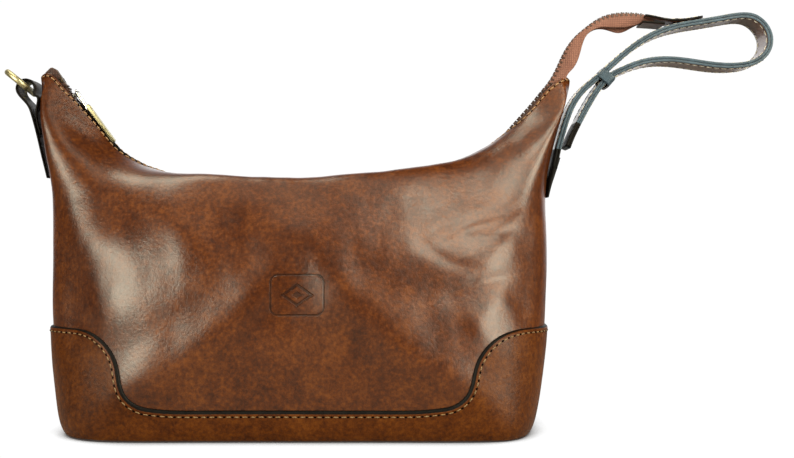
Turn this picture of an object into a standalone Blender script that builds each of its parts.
"""Soft leather shaving kit bag with a raised horn at each end, built as separate pieces.

Frame: origin at the middle of the underside, +X along the zip towards the wrist
strap, -Y is the front, +Z up.  Lengths are millimetres and are turned into metres
when a mesh is written.
"""
import bpy
import bmesh
import math
import numpy as np
from mathutils import Matrix, Vector

MM = 0.001
SIDES = (("front", -1), ("back", 1))     # name and sign of y
WORLD = (0.0, 0.0, 0.0)

# ---- driving dimensions (mm) ---------------------------------------------------
LEATHER = 1.4            # thickness of the outer leather
LINING = 0.7             # thickness of the lining cloth
GAP = 0.35               # clearance between neighbouring pieces
SEAM_HALF = 0.2          # half of the gap at the two end seams
WALL_LINING_GAP = 0.8    # between leather and lining in the walls
BASE_LINING_GAP = 0.6    # between leather and lining round the base

ZIP_R = 161.0            # radius of the arc the slider runs on
ZIP_CENTRE_Z = 269.5     # height of the centre of that arc
ZIP_END_X = 125.0        # ends of the zip along x
DIP_LEFT = 6.0           # how far the zip dips below the arc at the foot of each horn
DIP_RIGHT = 1.0
DIP_X = 91.0             # middle of each dip
DIP_HALF_W = 20.0
HORN_X = 122.0           # beyond this the leather edge leaves the zip

COVER_MID_Z = 14.0       # height of the base cover in the middle of a side
COVER_END_Z = 53.0       # height of the base cover at the ends

STRAP_W = 18.0
STRAP_LAYER = 1.2

for old in list(bpy.data.objects):
    bpy.data.objects.remove(old, do_unlink=True)


# ---- materials -----------------------------------------------------------------
def material(name, color, roughness, metallic=0.0):
    mat = bpy.data.materials.new(name)
    mat.use_nodes = True
    shader = mat.node_tree.nodes["Principled BSDF"]
    shader.inputs["Base Color"].default_value = (*color, 1.0)
    shader.inputs["Roughness"].default_value = roughness
    shader.inputs["Metallic"].default_value = metallic
    mat.diffuse_color = (*color, 1.0)
    return mat


PANEL_LEATHER = material("cognac_leather", color=(0.23, 0.075, 0.028), roughness=0.36)
COVER_LEATHER = material("base_leather", color=(0.25, 0.08, 0.03), roughness=0.38)
TAB_LEATHER = material("tab_leather", color=(0.19, 0.06, 0.025), roughness=0.42)
STRAP_LEATHER = material("strap_leather", color=(0.21, 0.075, 0.03), roughness=0.42)
BACKING = material("strap_backing_leather", color=(0.13, 0.055, 0.03), roughness=0.6)
LINING_CLOTH = material("lining_cloth", color=(0.30, 0.24, 0.17), roughness=0.85)
BINDING_CLOTH = material("binding_cloth", color=(0.05, 0.035, 0.03), roughness=0.85)
BASE_BOARD = material("base_board", color=(0.16, 0.12, 0.09), roughness=0.9)
ZIP_TAPE = material("zip_tape", color=(0.045, 0.022, 0.016), roughness=0.8)
TAIL_TAPE = material("tail_tape", color=(0.16, 0.065, 0.055), roughness=0.8)
TEETH = material("zip_teeth", color=(0.33, 0.25, 0.13), roughness=0.35, metallic=1.0)
BRASS = material("antique_brass", color=(0.40, 0.34, 0.22), roughness=0.32, metallic=1.0)
NICKEL = material("nickel_wire", color=(0.62, 0.62, 0.60), roughness=0.22, metallic=1.0)
CHROME = material("snap_chrome", color=(0.66, 0.62, 0.52), roughness=0.2, metallic=1.0)


# ---- objects and modifiers -----------------------------------------------------
def add_object(name, mesh, mat, smooth, origin):
    """Link a mesh whose vertices are already relative to the origin."""
    obj = bpy.data.objects.new(name, mesh)
    bpy.context.scene.collection.objects.link(obj)
    obj.location = Vector(origin) * MM
    mesh.materials.append(mat)
    for face in mesh.polygons:
        face.use_smooth = smooth
    return obj


def mesh_object(name, verts, faces, mat, smooth=True, origin=WORLD):
    """One closed mesh; verts and origin in world mm."""
    mesh = bpy.data.meshes.new(name)
    start = Vector(origin)
    mesh.from_pydata([((Vector(v) - start) * MM)[:] for v in verts], [], faces)
    mesh.validate()
    bm = bmesh.new()
    bm.from_mesh(mesh)
    bmesh.ops.remove_doubles(bm, verts=bm.verts, dist=1e-6)
    bmesh.ops.recalc_face_normals(bm, faces=bm.faces)
    if bm.calc_volume(signed=True) < 0:
        bmesh.ops.reverse_faces(bm, faces=bm.faces)
    bm.to_mesh(mesh)
    bm.free()
    return add_object(name, mesh, mat, smooth, origin)


def bevel(obj, width):
    mod = obj.modifiers.new("edge", "BEVEL")
    mod.width = width * MM
    mod.segments = 2
    mod.limit_method = "ANGLE"
    mod.angle_limit = math.radians(40)


def boolean(target, tool, name, operation):
    """Combine target with a tool object, which is kept as a hidden helper."""
    mod = target.modifiers.new(name, "BOOLEAN")
    mod.operation = operation
    mod.solver = "EXACT"
    mod.object = tool
    tool.hide_render = True
    tool.display_type = "WIRE"


# ---- shape builders ------------------------------------------------------------
def loft(name, mat, sections, closed=False, smooth=True, origin=WORLD):
    """Join equal loops of points in order; the ends are capped unless closed."""
    count = len(sections)
    sides = len(sections[0])
    verts = [tuple(point) for section in sections for point in section]
    faces = []
    for i in range(count if closed else count - 1):
        here = i * sides
        there = (i + 1) % count * sides
        for k in range(sides):
            k2 = (k + 1) % sides
            faces.append((here + k, here + k2, there + k2, there + k))
    if not closed:
        faces.append(tuple(range(sides)))
        faces.append(tuple(reversed(range((count - 1) * sides, count * sides))))
    return mesh_object(name, verts, faces, mat, smooth, origin)


def sheet(name, mat, outer, inner, wrap=False):
    """Solid between two grids of points (rows x columns x 3).

    With wrap the columns close into a ring and the lowest rows are filled as floors.
    """
    grids = np.array([outer, inner])
    rows, cols = grids.shape[1:3]
    top, last = rows - 1, cols - 1

    def at(layer, row, col):
        return (layer * rows + row) * cols + col % cols

    faces = []
    for i in range(cols if wrap else last):
        for k in range(top):
            faces.append((at(0, k, i), at(0, k, i + 1), at(0, k + 1, i + 1), at(0, k + 1, i)))
            faces.append((at(1, k, i), at(1, k + 1, i), at(1, k + 1, i + 1), at(1, k, i + 1)))
        faces.append((at(0, top, i), at(0, top, i + 1), at(1, top, i + 1), at(1, top, i)))
        if not wrap:
            faces.append((at(0, 0, i), at(1, 0, i), at(1, 0, i + 1), at(0, 0, i + 1)))
    if wrap:
        faces.append(tuple(at(0, 0, i) for i in range(cols)))
        faces.append(tuple(at(1, 0, i) for i in reversed(range(cols))))
    else:
        for k in range(top):
            faces.append((at(0, k, 0), at(0, k + 1, 0), at(1, k + 1, 0), at(1, k, 0)))
            faces.append((at(0, k, last), at(1, k, last), at(1, k + 1, last), at(0, k + 1, last)))
    return mesh_object(name, grids.reshape(-1, 3), faces, mat)


def path_normals(path):
    """Unit normals of an XZ path, pointing left of travel."""
    tangent = np.gradient(np.asarray(path, float), axis=0)
    tangent /= np.linalg.norm(tangent, axis=1)[:, None]
    return np.stack([-tangent[:, 1], tangent[:, 0]], axis=1)


def strip(name, mat, path, y_start, y_end, thick, origin=WORLD, shift=0.0):
    """Band along an XZ path, moved left of travel by shift.

    y_start and y_end are numbers or one value per point.
    """
    path = np.asarray(path, float)
    y_start = np.broadcast_to(y_start, len(path))
    y_end = np.broadcast_to(y_end, len(path))
    sections = []
    for point, normal, y0, y1 in zip(path, path_normals(path), y_start, y_end):
        low = point + normal * (shift - thick / 2)
        high = point + normal * (shift + thick / 2)
        sections.append([(low[0], y0, low[1]), (low[0], y1, low[1]),
                         (high[0], y1, high[1]), (high[0], y0, high[1])])
    return loft(name, mat, sections, smooth=False, origin=origin)


def centred_strip(name, mat, path, width, thick, origin=WORLD, shift=0.0):
    return strip(name, mat, path, -width / 2, width / 2, thick, origin, shift)


def box(name, mat, centre, size, turn_deg, origin):
    """Block turned about Y; a positive turn lowers its +X end."""
    turn = Matrix.Rotation(math.radians(turn_deg), 3, "Y")
    move = (Vector(centre) - Vector(origin)) * MM
    bm = bmesh.new()
    bmesh.ops.create_cube(bm, size=1.0)
    bmesh.ops.scale(bm, vec=Vector(size) * MM, verts=bm.verts)
    bmesh.ops.rotate(bm, cent=(0, 0, 0), matrix=turn, verts=bm.verts)
    bmesh.ops.translate(bm, vec=move, verts=bm.verts)
    mesh = bpy.data.meshes.new(name)
    bm.to_mesh(mesh)
    bm.free()
    return add_object(name, mesh, mat, False, origin)


def revolve(name, mat, profile, centre_xz, axis_xz, steps, origin):
    """Turned part: (radius, height) profile about an axis lying in the XZ plane."""
    axis = Vector((axis_xz[0], 0, axis_xz[1])).normalized()
    side = Vector((0, 1, 0))
    cross = axis.cross(side)
    centre = Vector((centre_xz[0], 0, centre_xz[1]))
    verts, faces, rings = [], [], []
    for radius, height in profile:
        first = len(verts)
        count = steps if radius > 0 else 1       # a pole is a single point
        for k in range(count):
            angle = 2 * math.pi * k / steps
            spoke = side * (radius * math.cos(angle)) + cross * (radius * math.sin(angle))
            verts.append(tuple(centre + axis * height + spoke))
        rings.append(range(first, first + count))
    for low, high in zip(rings, rings[1:]):
        for k in range(steps):
            k2 = (k + 1) % steps
            if len(low) == 1:
                faces.append((low[0], high[k], high[k2]))
            elif len(high) == 1:
                faces.append((low[k], low[k2], high[0]))
            else:
                faces.append((low[k], low[k2], high[k2], high[k]))
    return mesh_object(name, verts, faces, mat, origin=origin)


def wire(name, mat, points, radius, closed, origin, sides=10):
    """Round wire through world points."""
    points = [Vector(p) for p in points]
    count = len(points)
    sections = []
    across = None
    for i, point in enumerate(points):
        before = points[(i - 1) % count] if (closed or i > 0) else point
        after = points[(i + 1) % count] if (closed or i < count - 1) else point
        tangent = (after - before).normalized()
        if across is None:
            across = Vector((0, 1, 0)) if abs(tangent.y) < 0.9 else Vector((1, 0, 0))
        # carrying the last direction along keeps the wire from twisting
        across = (across - tangent * across.dot(tangent)).normalized()
        other = tangent.cross(across)
        section = []
        for k in range(sides):
            angle = 2 * math.pi * k / sides
            section.append(point + across * radius * math.cos(angle)
                           + other * radius * math.sin(angle))
        sections.append(section)
    return loft(name, mat, sections, closed=closed, origin=origin)


# ---- curves --------------------------------------------------------------------
def spline(knots, points, at):
    """Natural cubic spline through points at the knots, evaluated at the values at."""
    knots = np.asarray(knots, float)
    points = np.asarray(points, float)
    if points.ndim == 1:
        return spline(knots, points[:, None], at)[..., 0]
    count = len(knots)
    step = np.diff(knots)
    system = np.zeros((count, count))
    rhs = np.zeros((count, points.shape[1]))
    system[0, 0] = system[-1, -1] = 1.0
    for i in range(1, count - 1):
        system[i, i - 1:i + 2] = step[i - 1], 2 * (step[i - 1] + step[i]), step[i]
        rhs[i] = 6 * ((points[i + 1] - points[i]) / step[i]
                      - (points[i] - points[i - 1]) / step[i - 1])
    bend = np.linalg.solve(system, rhs)
    at = np.asarray(at, float)
    k = np.clip(np.searchsorted(knots, at, side="right") - 1, 0, count - 2)
    width = step[k][..., None]
    done = (at - knots[k])[..., None]
    left = width - done
    return ((bend[k] * left ** 3 + bend[k + 1] * done ** 3) / (6 * width)
            + (points[k] / width - bend[k] * width / 6) * left
            + (points[k + 1] / width - bend[k + 1] * width / 6) * done)


def resample(points, count):
    """Spline through evenly weighted points, read at count even steps."""
    return spline(np.linspace(0, 1, len(points)), points, np.linspace(0, 1, count))


def zip_z(x):
    """Height of the zip centreline: the slider's arc with a dip at each horn foot."""
    x = np.asarray(x, float)
    arc = ZIP_CENTRE_Z - np.sqrt(ZIP_R ** 2 - x ** 2)
    fade = np.clip(np.abs(np.abs(x) - DIP_X) / DIP_HALF_W, 0, 1)
    return arc - np.where(x < 0, DIP_LEFT, DIP_RIGHT) * np.cos(fade * math.pi / 2) ** 2


def edge_z(x):
    """Height of the leather edge that runs beside the zip and out to the horn tip."""
    reach = np.abs(x)
    beside_zip = zip_z(np.sign(x) * np.minimum(reach, HORN_X)) + 1.2
    beyond = np.maximum(reach - HORN_X, 0.0)
    return beside_zip + 1.15 * beyond - 0.019 * beyond * beyond


# ---- outer leather surface -----------------------------------------------------
# Control points (x, y, z) of the front half, seven rows from the base up.
# Columns: left seam, left end, left corner.
LEFT_END = [
    [(-112, 0, 0), (-112, -26.5, 0), (-101, -44, 0)],
    [(-116.5, 0, 12), (-116.3, -27, 12), (-105, -45, 12)],
    [(-121.5, 0, 50), (-121.2, -24, 50), (-106.5, -41.5, 50)],
    [(-123.5, 0, 90), (-123.2, -20, 90), (-110.5, -35, 90)],
    [(-126, 0, 120), (-125.3, -15.5, 120), (-118, -26, 119)],
    [(-131.5, 0, 146), (-130, -11, 146), (-122.5, -19, 142)],
    [(-133.6, 0, 165), (-132, -6.5, 164), (-124.5, -11.5, 157)],
]
# Columns: five stations along the front, left to right.
MIDDLE = [
    [(-81, -50, 0), (-42, -50, 0), (0, -50, 0), (42, -50, 0), (81, -50, 0)],
    [(-83, -53.2, 12), (-43, -54, 12), (0, -54, 12), (43, -54, 12), (83, -53.2, 12)],
    [(-85, -52, 50), (-45, -56, 50), (0, -56, 50), (45, -56, 50), (85, -52, 50)],
    [(-88, -45.5, 88), (-46, -51.5, 85), (0, -51.5, 83), (46, -51.5, 85), (88, -46, 88)],
    [(-89, -37.5, 108), (-46, -43, 104.5), (0, -44, 102), (46, -43, 105), (88, -37.5, 109)],
    [(-90, -26, 123), (-47, -35, 118.5), (0, -36, 115.5), (46, -35, 119.5), (88, -26, 128)],
    [(-91, -14, 131), (-48, -25, 125), (0, -26, 122), (47, -25, 127), (89, -14, 137.5)],
]
# Columns: right corner, right end, right seam.
RIGHT_END = [
    [(99, -44, 0), (108, -26.5, 0), (109, 0, 0)],
    [(103, -45, 12), (112.3, -27, 12), (113.5, 0, 12)],
    [(105, -41.5, 50), (117.3, -24, 50), (118.6, 0, 50)],
    [(108.5, -35, 90), (119.6, -20, 90), (120.5, 0, 90)],
    [(113.5, -26, 119), (119.6, -15.5, 120), (121.2, 0, 120)],
    [(119, -19, 142), (125.3, -11, 146), (127, 0, 146)],
    [(124, -11.5, 157), (131, -6.5, 164), (132.2, 0, 165)],
]
# x and y of the eighth row, the edge beside the zip; edge_z gives its height.
TOP_X = [-134.3, -130.0, -121.5, -93.0, -49.0, 0.0, 49.0, 93.0, 121.0, 129.0, 133.6]
TOP_Y = [0.0, -4.6, -6.1, -6.2, -6.2, -6.2, -6.2, -6.2, -6.1, -4.6, 0.0]
COL_KNOTS = np.arange(11.0)
MIRRORED_KNOTS = np.arange(-2.0, 13.0)
ROW_KNOTS = np.arange(8.0)
MIRROR_Y = np.array([1.0, -1.0, 1.0])


def mirrored(row):
    """Extend a row past both end seams by its mirror image, so the seam is level."""
    row = np.array(row, float)
    return np.vstack([row[2:0:-1] * MIRROR_Y, row, row[-2:-4:-1] * MIRROR_Y])


ROWS = [mirrored(left + middle + right)
        for left, middle, right in zip(LEFT_END, MIDDLE, RIGHT_END)]


def surface_at(cols, rows):
    """Points of the front half; cols run 0..10 seam to seam, rows 0..7 upwards."""
    cols, rows = np.broadcast_arrays(np.asarray(cols, float), np.asarray(rows, float))
    controls = [spline(MIRRORED_KNOTS, row, cols) for row in ROWS]
    top_x = spline(COL_KNOTS, TOP_X, cols)
    top_y = np.interp(cols, COL_KNOTS, TOP_Y)
    controls.append(np.stack([top_x, top_y, edge_z(top_x)], axis=1))
    controls = np.array(controls)
    return np.array([spline(ROW_KNOTS, controls[:, i], rows[i:i + 1])[0]
                     for i in range(len(cols))])


def surface_normals(cols, rows):
    """Outward unit normals; at the end seams they lie in the XZ plane."""
    cols, rows = np.broadcast_arrays(np.asarray(cols, float), np.asarray(rows, float))
    step = 0.02
    along = (surface_at(np.clip(cols + step, 0, 10), rows)
             - surface_at(np.clip(cols - step, 0, 10), rows))
    upward = (surface_at(cols, np.clip(rows + step, 0, 7))
              - surface_at(cols, np.clip(rows - step, 0, 7)))
    normal = np.cross(along, upward)
    normal /= np.linalg.norm(normal, axis=1)[:, None]
    normal[(cols < 0.01) | (cols > 9.99), 1] = 0.0
    return normal / np.linalg.norm(normal, axis=1)[:, None]


def inset_surface(cols, rows, depth):
    """Points at a depth inside the outer leather surface."""
    return surface_at(cols, rows) - surface_normals(cols, rows) * depth


# ---- upper edge of the base cover ----------------------------------------------
# Distance from the middle, and the share of the rise from middle to end height.
COVER_X = [0, 58, 66, 71, 75, 78, 79.8, 80.8, 81.8, 83.8, 87, 91, 96, 101, 106, 140]
COVER_RISE = [0, 0, 0.03, 0.055, 0.115, 0.2, 0.31, 0.43, 0.55, 0.67, 0.79, 0.885, 0.95,
              0.985, 1.0, 1.0]


def cover_edge_z(x):
    return COVER_MID_Z + (COVER_END_Z - COVER_MID_Z) * np.interp(np.abs(x), COVER_X, COVER_RISE)


def mesh_columns():
    """Even half steps plus extra columns where the cover edge is steep."""
    fine = np.linspace(0, 10, 801)
    fine_x = spline(MIRRORED_KNOTS, ROWS[2], fine)[:, 0]
    candidates = list(np.arange(0, 10.01, 0.5))
    for side in (-1, 1):
        for x in COVER_X[2:-1:2]:
            candidates.append(float(np.interp(side * x, fine_x, fine)))
    candidates.sort()
    kept = [candidates[0]]
    for col in candidates[1:]:
        if col - kept[-1] > 0.02:
            kept.append(col)
    return np.array(kept)


def cover_edge_rows(cols):
    """Row value where the surface meets the cover edge, by bisection."""
    low = np.full(len(cols), 0.4)
    high = np.full(len(cols), 3.4)
    for _ in range(26):
        mid = (low + high) / 2
        point = surface_at(cols, mid)
        below = point[:, 2] < cover_edge_z(point[:, 0])
        low = np.where(below, mid, low)
        high = np.where(below, high, mid)
    return (low + high) / 2


COLS = mesh_columns()
EDGE_ROWS = cover_edge_rows(COLS)


def full_outline(half):
    """Close a front half, left seam to right seam, with its mirror at the back."""
    return np.vstack([half, half[-2:0:-1] * MIRROR_Y])


# ---- bag body ------------------------------------------------------------------
def tray(name, mat, depth, thick, floor_z, edge_drop, row_count):
    """Open tray that follows the cover; edge_drop lowers its rim, in row units."""
    walls = []
    for offset in (0.0, thick):
        bottom = floor_z + offset
        wall = []
        for share in np.arange(row_count) / (row_count - 1):
            points = inset_surface(COLS, (EDGE_ROWS - edge_drop) * share, depth + offset)
            if share == 0:
                points[:, 2] = bottom
            else:
                points[:, 2] = np.maximum(points[:, 2], bottom + 1.5 * share)
            wall.append(full_outline(points))
        walls.append(wall)
    return sheet(name, mat, *walls, wrap=True)


def panel(name, mat, side, depth, thick, low_gap, is_lining):
    """U-shaped sheet from low_gap above the cover edge up to the zip."""
    split_row = 4.6          # even steps below this row, fixed steps above it
    low_steps = 6
    high_rows = np.arange(split_row, 7.01, 0.3)[1:]
    squeeze = np.ones(len(COLS))
    if is_lining:
        # in the narrow horns the lining stops short, where the two sides close together
        high_rows = high_rows[:-1]
        squeeze -= 0.85 * np.clip((np.abs(COLS - 5.0) - 3.0) / 1.2, 0, 1)
    probe = 0.05
    rise = surface_at(COLS, EDGE_ROWS + probe)[:, 2] - surface_at(COLS, EDGE_ROWS)[:, 2]
    start = EDGE_ROWS + low_gap / (np.maximum(rise, 1e-3) / probe)
    levels = [start + (split_row - start) * k / low_steps for k in range(low_steps + 1)]
    levels += [split_row + (row - split_row) * squeeze for row in high_rows]
    layers = []
    for layer_depth in (depth, depth + thick):
        layer = np.array([inset_surface(COLS, level, layer_depth) for level in levels])
        layer[:, :, 1] = np.minimum(layer[:, :, 1], -SEAM_HALF)
        layers.append(layer * (1, -side, 1))
    return sheet(name, mat, *layers)


def base_board():
    """Flat stiffener that follows the outline of the base."""
    thick, bottom_z, inset = 1.6, 1.8, 4.5
    cols = COLS[::2] if len(COLS) % 2 else np.append(COLS[::2], COLS[-1])
    normal = surface_normals(cols, 0.0)
    normal[:, 2] = 0
    normal /= np.linalg.norm(normal, axis=1)[:, None]
    outline = full_outline(surface_at(cols, 0.0) - normal * inset)
    sections = [[(x, y, z) for x, y, _ in outline] for z in (bottom_z, bottom_z + thick)]
    loft("base_board", BASE_BOARD, sections, smooth=False)


def inner_pocket():
    """Thin flat pouch inside the back wall."""
    cols = np.linspace(3.6, 6.4, 15)
    layers = [[inset_surface(cols, row, depth) * MIRROR_Y for row in np.linspace(1.35, 2.65, 6)]
              for depth in (4.2, 5.0)]
    sheet("inner_pocket", LINING_CLOTH, *layers)


def seam_binding(name, col):
    """Cloth strip along an end seam, inside the bag."""
    rows = np.linspace(0.75, 5.0, 14)
    depth = LEATHER + WALL_LINING_GAP + LINING + 1.6
    points = inset_surface(col, rows, depth)
    centred_strip(name, BINDING_CLOTH, points[:, [0, 2]], width=8.0, thick=0.8)


tray("base_cover", COVER_LEATHER, depth=0.0, thick=LEATHER, floor_z=0.0,
     edge_drop=0.0, row_count=6)
tray("base_lining", LINING_CLOTH, depth=LEATHER + BASE_LINING_GAP, thick=LINING, floor_z=3.9,
     edge_drop=0.03, row_count=5)
for tag, side in SIDES:
    panel(tag + "_panel", PANEL_LEATHER, side, depth=0.0, thick=LEATHER,
          low_gap=0.5, is_lining=False)
    panel(tag + "_lining", LINING_CLOTH, side, depth=LEATHER + WALL_LINING_GAP, thick=LINING,
          low_gap=1.6, is_lining=True)
base_board()
inner_pocket()
seam_binding("seam_binding_left", 0.0)
seam_binding("seam_binding_right", 10.0)

# ---- zip -----------------------------------------------------------------------
TOOTH_IN, TOOTH_OUT = 0.9, 2.7       # distance of a row of teeth from the middle
TOOTH_H = 2.4
TAPE_IN, TAPE_OUT = 3.0, 4.3         # distance of a tape's edges from the middle
TAPE_T = 0.6
TAPE_TAPER_X = 116.0                 # the tapes narrow from here to their ends
TAPE_END_W = 0.5

zip_x = np.concatenate([np.linspace(-ZIP_END_X, -60, 24), np.linspace(-54, 54, 13),
                        np.linspace(60, ZIP_END_X, 24)])
zip_path = np.stack([zip_x, zip_z(zip_x)], axis=1)
tape_outer = np.interp(np.abs(zip_x), [TAPE_TAPER_X, ZIP_END_X],
                       [TAPE_OUT, TAPE_IN + TAPE_END_W])
for tag, side in SIDES:
    strip("zip_tape_" + tag, ZIP_TAPE, zip_path, side * TAPE_IN, side * tape_outer, TAPE_T)
    strip("zip_teeth_" + tag, TEETH, zip_path[1:-1], side * TOOTH_IN, side * TOOTH_OUT, TOOTH_H)

# ---- zip slider, on the slope of the left horn ---------------------------------
SLIDER_DEG = -48.3                   # place on the arc, from straight down
SLIDER_TILT = -SLIDER_DEG
SLIDER_LEN = 9.0
SLIDER_W = 6.6
PLATE_T = 1.0
PLATE_UP = 2.05                      # plate centres above and below the arc
ARC_CENTRE = (0.0, 0.0, ZIP_CENTRE_Z)


def arc_point(deg, up):
    """Point on the slider arc, up mm towards the arc's centre (out of the bag)."""
    angle = math.radians(deg)
    radius = ZIP_R - up
    return (radius * math.sin(angle), 0.0, ZIP_CENTRE_Z - radius * math.cos(angle))


slider = box("slider_body", BRASS, arc_point(SLIDER_DEG, PLATE_UP),
             (SLIDER_LEN, SLIDER_W, PLATE_T), SLIDER_TILT, ARC_CENTRE)
low_plate = box("cut_low", BRASS, arc_point(SLIDER_DEG, -PLATE_UP),
                (SLIDER_LEN, SLIDER_W - 0.6, PLATE_T), SLIDER_TILT, ARC_CENTRE)
post = box("cut_post", BRASS, arc_point(SLIDER_DEG - 1.28, 0.0),
           (1.3, 1.1, 2 * PLATE_UP), SLIDER_TILT, ARC_CENTRE)
for part in (low_plate, post):
    boolean(slider, part, "join", "UNION")
bevel(slider, 0.25)

# Bridge: a staple across the slider that carries the pull's link.
BRIDGE_HALF_W = 2.3
BRIDGE_WIRE = 0.6
# (share of the half width, height above the foot), foot to crown
BRIDGE_PROFILE = [(1.0, 0.0), (1.0, 2.2), (0.96, 2.9), (0.72, 3.3), (0.4, 3.4)]
bridge_foot = Vector(arc_point(SLIDER_DEG, 2.75))
slider_out = Vector((-math.sin(math.radians(SLIDER_DEG)), 0, math.cos(math.radians(SLIDER_DEG))))
bridge_profile = [(-share, lift) for share, lift in BRIDGE_PROFILE] + BRIDGE_PROFILE[::-1]
bridge_points = [bridge_foot + slider_out * lift + Vector((0, BRIDGE_HALF_W * share, 0))
                 for share, lift in bridge_profile]
wire("slider_bridge", BRASS, bridge_points, BRIDGE_WIRE, False, ARC_CENTRE)
bridge_crown = bridge_foot + slider_out * BRIDGE_PROFILE[-1][1]


# ---- zip pull ------------------------------------------------------------------
def slope_down(deg):
    """Direction in the XZ plane, deg below +X."""
    return Vector((math.cos(math.radians(deg)), 0, -math.sin(math.radians(deg))))


# Link: long narrow ring whose upper end goes round the bridge.
LINK_R, LINK_WIRE = 2.0, 0.42
LINK_LEN = 6.6                       # between the centres of its two round ends
LINK_ARC_STEPS = 12
link_dir = slope_down(58.0)
link_up = Vector((-link_dir.z, 0, link_dir.x))
link_top = bridge_crown + link_dir * (LINK_R - LINK_WIRE - BRIDGE_WIRE - 0.2)
link_low = link_top + link_dir * LINK_LEN
link_points = []
for centre, start in ((link_top, 0.5), (link_low, -0.5)):
    for k in range(LINK_ARC_STEPS + 1):
        angle = math.pi * (start + k / LINK_ARC_STEPS)
        link_points.append(centre + link_dir * (LINK_R * math.cos(angle))
                           + link_up * (LINK_R * math.sin(angle)))
wire("pull_link", NICKEL, link_points, LINK_WIRE, True, bridge_crown)
pull_pivot = link_low + link_dir * LINK_R

# Bar: slim flat bar with a hole at its upper end; it lies along the horn's slope.
BAR_L, BAR_W, BAR_T = 21.5, 4.4, 1.5
BAR_DEG = 51.5
BAR_END = 1.8                        # from the pivot to the upper end of the bar
bar_dir = slope_down(BAR_DEG)
bar = box("pull_bar", BRASS, pull_pivot + bar_dir * (BAR_L / 2 - BAR_END),
          (BAR_L, BAR_W, BAR_T), BAR_DEG, pull_pivot)
hole = box("cut_hole", BRASS, pull_pivot + bar_dir * 0.05, (2.4, 1.9, 6.0), BAR_DEG, pull_pivot)
boolean(bar, hole, "hole", "DIFFERENCE")
bevel(bar, 0.3)

# Stops at the left end of the zip, one on each row of teeth.
STOP_X = -124.6
stop_z = float(zip_z(STOP_X))
for tag, side in SIDES:
    stop = box("zip_stop_" + tag, BRASS,
               (STOP_X + 1.6, side * (TOOTH_IN + TOOTH_OUT) / 2, stop_z + 2.2),
               (3.0, 1.9, 1.2), SLIDER_TILT + 1.5, (STOP_X, 0, stop_z))
    bevel(stop, 0.2)

# ---- D-ring at the tip of the left horn ----------------------------------------
RING_HALF_W = 11.0
RING_DEPTH = 15.0                    # from the straight bar to the top of the bow
RING_WIRE = 1.5                      # wire radius
BOW_START = 2.2                      # where the bow begins, from the bar
BAR_STEPS, BOW_STEPS = 10, 22
ring_bar = Vector((-140.6, 0.0, 169.3))      # centre of the straight bar
ring_dir = Vector((-0.757, 0, 0.653))        # from the bar to the bow
ring_points = []
for k in range(BAR_STEPS):
    y = RING_HALF_W - 2 * RING_HALF_W * (k + 0.5) / BAR_STEPS
    ring_points.append(ring_bar + Vector((0, y, 0)))
for k in range(BOW_STEPS):
    angle = math.pi * (k + 0.5) / BOW_STEPS
    reach = BOW_START + (RING_DEPTH - BOW_START) * math.sin(angle) ** 0.9
    y = -(RING_HALF_W + 1.0) * math.cos(angle)
    ring_points.append(ring_bar + ring_dir * reach + Vector((0, y, 0)))
wire("d_ring", BRASS, ring_points, RING_WIRE, True, ring_bar, sides=12)

# Folded tab: up beside the left seam, over the ring's bar and down again outside.
TAB_W, TAB_T = 18.0, 1.4
TAB_SEAM_ROWS = [4.975, 5.625, 5.95]
TAB_LOOP_STEPS = 12
TAB_OUTER = [(-140.4, 160.6), (-138.0, 154.0), (-136.9, 148.0), (-135.7, 141.5),
             (-133.6, 135.0), (-130.9, 128.2), (-129.0, 123.2)]      # x, z downwards
loop_radius = RING_WIRE + GAP + TAB_T / 2
tab_loop = []
for k in range(TAB_LOOP_STEPS + 1):
    angle = math.radians(-22) + math.pi * 1.12 * k / TAB_LOOP_STEPS
    tab_loop.append((ring_bar.x + loop_radius * math.cos(angle),
                     ring_bar.z + loop_radius * math.sin(angle)))
beside_seam = [(x - GAP - TAB_T / 2, z) for x, _, z in surface_at(0.0, TAB_SEAM_ROWS)]
beside_seam[-1] = (beside_seam[-1][0] - 0.1, beside_seam[-1][1])
tab_inner = resample(beside_seam + [(-136.6, 166.0), tab_loop[0]], 9)
tab_outer = resample([tab_loop[-1]] + TAB_OUTER, 16)
tab_path = np.vstack([tab_inner[:-1], tab_loop, tab_outer[1:]])
centred_strip("ring_tab", TAB_LEATHER, tab_path, TAB_W, TAB_T)

# ---- wrist strap on the right end ----------------------------------------------
# x, z of the strap's centreline: up the right end, out along the top, round and back.
STRAP_PATH = [
    (126.0, 128.5), (127.9, 138.0), (130.3, 147.0), (133.4, 156.5), (137.6, 164.6),
    (143.0, 170.6), (148.2, 175.0), (153.0, 179.2), (159.4, 184.9), (169.4, 192.7),
    (179.3, 198.0), (189.5, 201.1), (199.6, 202.9), (209.8, 204.6), (219.9, 206.2),
    (227.0, 205.6), (232.6, 201.5), (235.4, 195.5), (234.6, 189.0), (229.6, 183.6),
    (219.9, 180.9), (209.8, 180.9), (199.6, 182.2), (189.5, 183.6), (179.3, 183.9),
    (169.4, 182.2), (161.6, 179.2), (155.3, 176.0), (150.6, 171.9), (146.8, 166.8),
    (142.2, 159.0), (137.8, 150.6), (134.5, 143.6), (132.8, 139.2),
]
STRAP_ORIGIN = (STRAP_PATH[0][0], 0.0, STRAP_PATH[0][1])
chords = np.linalg.norm(np.diff(STRAP_PATH, axis=0), axis=1)
strap_knots = np.concatenate([[0.0], np.cumsum(chords)])
strap_line = spline(strap_knots, STRAP_PATH, np.linspace(0, strap_knots[-1], 92))
layer_shift = (STRAP_LAYER + GAP) / 2
centred_strip("strap_outer", STRAP_LEATHER, strap_line, STRAP_W, STRAP_LAYER,
              STRAP_ORIGIN, shift=layer_shift)
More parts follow.
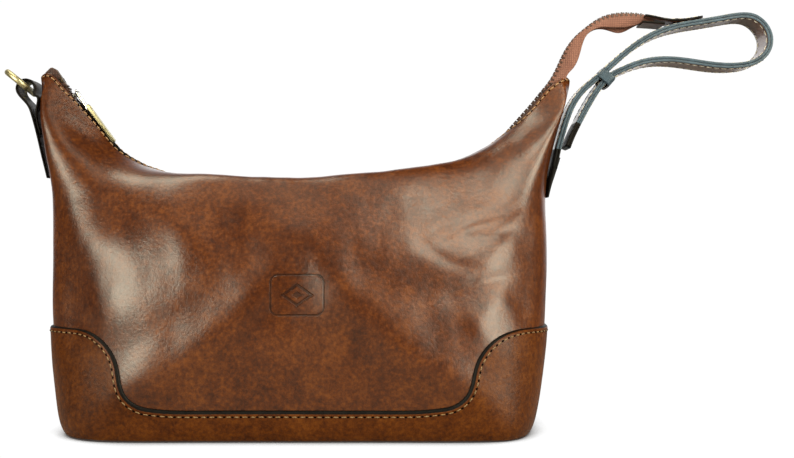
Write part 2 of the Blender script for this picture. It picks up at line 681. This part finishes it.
centred_strip("strap_inner", BACKING, strap_line, STRAP_W, STRAP_LAYER,
              STRAP_ORIGIN, shift=-layer_shift)

# Keeper: rectangular loop round both strands where they meet.
KEEPER_HALF_W = STRAP_W / 2 + 1.3
KEEPER_HALF_H = 4.9
KEEPER_HALF_L = 3.0
KEEPER_T = 0.95
keeper_centre = Vector((151.8, 0, 175.5))
keeper_along = Vector((0.66, 0, 0.751))
keeper_up = Vector((-0.751, 0, 0.66))
keeper_sections = []
for y_sign, up_sign in ((-1, -1), (1, -1), (1, 1), (-1, 1)):
    section = []
    for end, inset in ((-1, 0.0), (1, 0.0), (1, KEEPER_T), (-1, KEEPER_T)):
        point = (keeper_centre + keeper_along * (end * KEEPER_HALF_L)
                 + keeper_up * (up_sign * (KEEPER_HALF_H - inset)))
        point.y = y_sign * (KEEPER_HALF_W - inset)
        section.append(point)
    keeper_sections.append(section)
loft("strap_keeper", STRAP_LEATHER, keeper_sections, closed=True, smooth=False,
     origin=STRAP_ORIGIN)

# Tab that anchors the strap on the right end seam.
ANCHOR_T = 2.6
anchor_path = [(x + GAP + ANCHOR_T / 2, z)
               for x, _, z in surface_at(10.0, np.linspace(2.9, 4.2, 8))]
centred_strip("strap_anchor", TAB_LEATHER, anchor_path, STRAP_W, ANCHOR_T)


# ---- snap and zip tail ---------------------------------------------------------
def point_above(path, x, lift):
    """Path point nearest to x, lifted along the normal, and that normal."""
    k = int(np.argmin(np.abs(path[:, 0] - x)))
    normal = path_normals(path)[k]
    return path[k] + normal * lift, normal


# Stud standing on the strap's upper strand; profile is (radius, height).
SNAP_X = 190.0
UPPER_STRAND = 50                    # the first points of strap_line, up to the far bend
STUD_PROFILE = [(0, 0.0), (5.0, 0.0), (5.0, 0.35), (2.5, 0.5), (2.3, 0.95), (1.9, 1.2),
                (0, 1.25)]
stud_base, stud_axis = point_above(strap_line[:UPPER_STRAND], SNAP_X,
                                   STRAP_LAYER + GAP / 2 + 0.3)
revolve("strap_stud", CHROME, STUD_PROFILE, stud_base, stud_axis, 24, STRAP_ORIGIN)

# x, z of the tail tape's upper and lower edges, from the bag outwards.
TAIL_TOP = [(124.0, 176.2), (127.2, 182.0), (130.2, 187.2), (134.2, 192.2), (140.2, 198.2),
            (148.2, 203.2), (157.0, 206.2), (165.0, 207.2), (171.5, 207.0)]
TAIL_LOW = [(134.6, 180.0), (136.8, 183.6), (138.0, 186.6), (140.0, 190.4), (143.4, 193.8),
            (149.4, 198.0), (156.4, 201.0), (164.4, 202.6), (171.2, 203.4)]
TAIL_ORIGIN = (127.5, 0.0, 178.0)
TAIL_TOP_Y, TAIL_LOW_Y = 0.4, 2.6    # inner face of each leaf at its top and low edge
TAIL_T = 0.6
TAIL_INSET = 1.6                     # the leaves start this far below the top line
tail_top = resample(TAIL_TOP, 26)
tail_low = resample(TAIL_LOW, 26)
tail_down = tail_low - tail_top
tail_down /= np.linalg.norm(tail_down, axis=1)[:, None]


def tail_leaf(name, side):
    """One half of the tail tape, hanging from the teeth down to its low edge."""
    sections = []
    for top, low in zip(tail_top + tail_down * TAIL_INSET, tail_low):
        sections.append([(top[0], side * TAIL_TOP_Y, top[1]),
                         (low[0], side * TAIL_LOW_Y, low[1]),
                         (low[0], side * (TAIL_LOW_Y + TAIL_T), low[1]),
                         (top[0], side * (TAIL_TOP_Y + TAIL_T), top[1])])
    loft(name, TAIL_TAPE, sections, origin=TAIL_ORIGIN)


for tag, side in SIDES:
    tail_leaf("tail_tape_" + tag, side)
centred_strip("tail_teeth", TEETH, tail_top + tail_down * 0.2, 2.6, 1.5, TAIL_ORIGIN)

# End tab: two leather layers at the end of the tape, over the strap's stud.
END_TAB_W, END_TAB_T = 16.0, 1.3
END_TAB_PATH = [(173.0, 208.3), (179.5, 207.4), (187.0, 206.9), (194.5, 207.4), (201.0, 208.4)]
end_tab = resample(END_TAB_PATH, 13)
centred_strip("tail_tab_upper", STRAP_LEATHER, end_tab, END_TAB_W, END_TAB_T, TAIL_ORIGIN)
centred_strip("tail_tab_lower", BACKING, end_tab, END_TAB_W, END_TAB_T, TAIL_ORIGIN,
              shift=-(END_TAB_T + GAP))

# Domed cap on top of the end tab; profile is (radius, height).
CAP_PROFILE = [(0, 0.0), (5.6, 0.0), (5.9, 0.4), (5.6, 1.1), (4.6, 1.7), (2.6, 2.1), (0, 2.25)]
cap_base, cap_axis = point_above(end_tab, SNAP_X - 0.6, END_TAB_T / 2 + GAP)
revolve("tail_snap_cap", CHROME, CAP_PROFILE, cap_base, cap_axis, 28, TAIL_ORIGIN)
